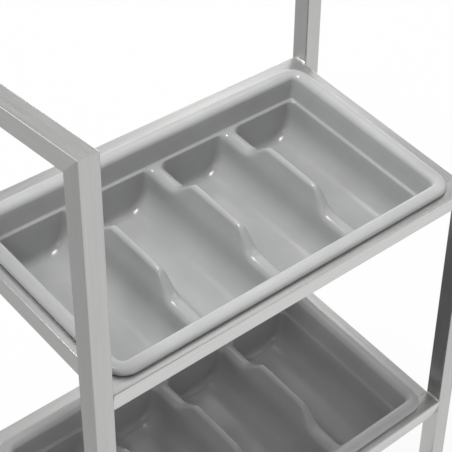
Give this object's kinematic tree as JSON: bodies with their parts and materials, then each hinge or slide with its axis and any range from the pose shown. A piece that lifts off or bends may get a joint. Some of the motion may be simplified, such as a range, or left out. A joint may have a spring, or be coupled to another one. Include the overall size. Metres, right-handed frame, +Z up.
{
  "type": "cutlery trolley",
  "caption": "Two-tier cutlery trolley: a square-tube stainless frame on swivel castors with mitred handle bars and sloping tiers that hold lift-out compartment trays.",
  "frame": {"origin": "on the floor under the middle of the frame", "axes": "+X to the user's right along the length, -Y towards the user and the low side of the tiers, +Z up"},
  "size_m": [0.635, 0.3416, 0.94],
  "materials": {
    "stainless_tube": "satin brushed stainless steel",
    "tray_plastic": "grey moulded plastic, semi-gloss",
    "black_plastic": "black moulded nylon",
    "zinc_steel": "bright zinc-plated pressed steel",
    "wheel_plastic": "grey moulded polypropylene",
    "tyre_rubber": "grey non-marking rubber"
  },
  "bodies": {
    "frame": {"post_front_left": "stainless_tube", "post_front_right": "stainless_tube", "post_back_left": "stainless_tube", "post_back_right": "stainless_tube", "handle_bar_left": "stainless_tube", "handle_bar_right": "stainless_tube", "upper_front_rail": "stainless_tube", "upper_back_rail": "stainless_tube", "upper_left_rail": "stainless_tube", "upper_right_rail": "stainless_tube", "lower_front_rail": "stainless_tube", "lower_back_rail": "stainless_tube", "lower_left_rail": "stainless_tube", "lower_right_rail": "stainless_tube", "post_inserts": "black_plastic", "castor_bolts": "zinc_steel", "castor_washers": "zinc_steel", "swivel_balls": "zinc_steel", "castor_head_front_left": "zinc_steel", "castor_head_front_right": "zinc_steel", "castor_head_back_left": "zinc_steel", "castor_head_back_right": "zinc_steel"},
    "upper_tray": {"upper_tray": "tray_plastic"},
    "lower_tray": {"lower_tray": "tray_plastic"},
    "swivel_front_left": {"fork_front_left": "zinc_steel", "axle_bolt_front_left": "zinc_steel", "axle_nut_front_left": "zinc_steel", "axle_sleeve_front_left": "zinc_steel", "brake_pin_front_left": "zinc_steel"},
    "swivel_front_right": {"fork_front_right": "zinc_steel", "axle_bolt_front_right": "zinc_steel", "axle_nut_front_right": "zinc_steel", "axle_sleeve_front_right": "zinc_steel", "brake_pin_front_right": "zinc_steel"},
    "swivel_back_left": {"fork_back_left": "zinc_steel", "axle_bolt_back_left": "zinc_steel", "axle_nut_back_left": "zinc_steel", "axle_sleeve_back_left": "zinc_steel"},
    "swivel_back_right": {"fork_back_right": "zinc_steel", "axle_bolt_back_right": "zinc_steel", "axle_nut_back_right": "zinc_steel", "axle_sleeve_back_right": "zinc_steel"},
    "wheel_front_left": {"wheel_centre_front_left": "wheel_plastic", "tyre_front_left": "tyre_rubber"},
    "wheel_front_right": {"wheel_centre_front_right": "wheel_plastic", "tyre_front_right": "tyre_rubber"},
    "wheel_back_left": {"wheel_centre_back_left": "wheel_plastic", "tyre_back_left": "tyre_rubber"},
    "wheel_back_right": {"wheel_centre_back_right": "wheel_plastic", "tyre_back_right": "tyre_rubber"},
    "pedal_front_left": {"brake_pedal_front_left": "black_plastic"},
    "pedal_front_right": {"brake_pedal_front_right": "black_plastic"}
  },
  "joints": [
    {"name": "upper_tray_lift", "type": "slide", "parent": "frame", "child": "upper_tray", "axis": [0, -0.1564, 0.9877], "range_m": [0, 0.1]},
    {"name": "lower_tray_lift", "type": "slide", "parent": "frame", "child": "lower_tray", "axis": [0, -0.1564, 0.9877], "range_m": [0, 0.1]},
    {"name": "swivel_front_left", "type": "hinge", "parent": "frame", "child": "swivel_front_left", "pos_m": [-0.28751, -0.14503, 0.112], "axis": [0, 0, 1], "continuous": true},
    {"name": "wheel_front_left", "type": "hinge", "parent": "swivel_front_left", "child": "wheel_front_left", "pos_m": [-0.25151, -0.14503, 0.05], "axis": [0, 1, 0], "continuous": true},
    {"name": "brake_front_left", "type": "hinge", "parent": "swivel_front_left", "child": "pedal_front_left", "pos_m": [-0.23951, -0.14503, 0.107], "axis": [0, 1, 0], "range_deg": [0, 18]},
    {"name": "swivel_front_right", "type": "hinge", "parent": "frame", "child": "swivel_front_right", "pos_m": [0.28751, -0.14503, 0.112], "axis": [0, 0, 1], "continuous": true},
    {"name": "wheel_front_right", "type": "hinge", "parent": "swivel_front_right", "child": "wheel_front_right", "pos_m": [0.25151, -0.14503, 0.05], "axis": [0, 1, 0], "continuous": true},
    {"name": "brake_front_right", "type": "hinge", "parent": "swivel_front_right", "child": "pedal_front_right", "pos_m": [0.23951, -0.14503, 0.107], "axis": [0, -1, 0], "range_deg": [0, 18]},
    {"name": "swivel_back_left", "type": "hinge", "parent": "frame", "child": "swivel_back_left", "pos_m": [-0.28751, 0.14503, 0.112], "axis": [0, 0, 1], "continuous": true},
    {"name": "wheel_back_left", "type": "hinge", "parent": "swivel_back_left", "child": "wheel_back_left", "pos_m": [-0.25151, 0.14503, 0.05], "axis": [0, 1, 0], "continuous": true},
    {"name": "swivel_back_right", "type": "hinge", "parent": "frame", "child": "swivel_back_right", "pos_m": [0.28751, 0.14503, 0.112], "axis": [0, 0, 1], "continuous": true},
    {"name": "wheel_back_right", "type": "hinge", "parent": "swivel_back_right", "child": "wheel_back_right", "pos_m": [0.25151, 0.14503, 0.05], "axis": [0, 1, 0], "continuous": true}
  ]
}
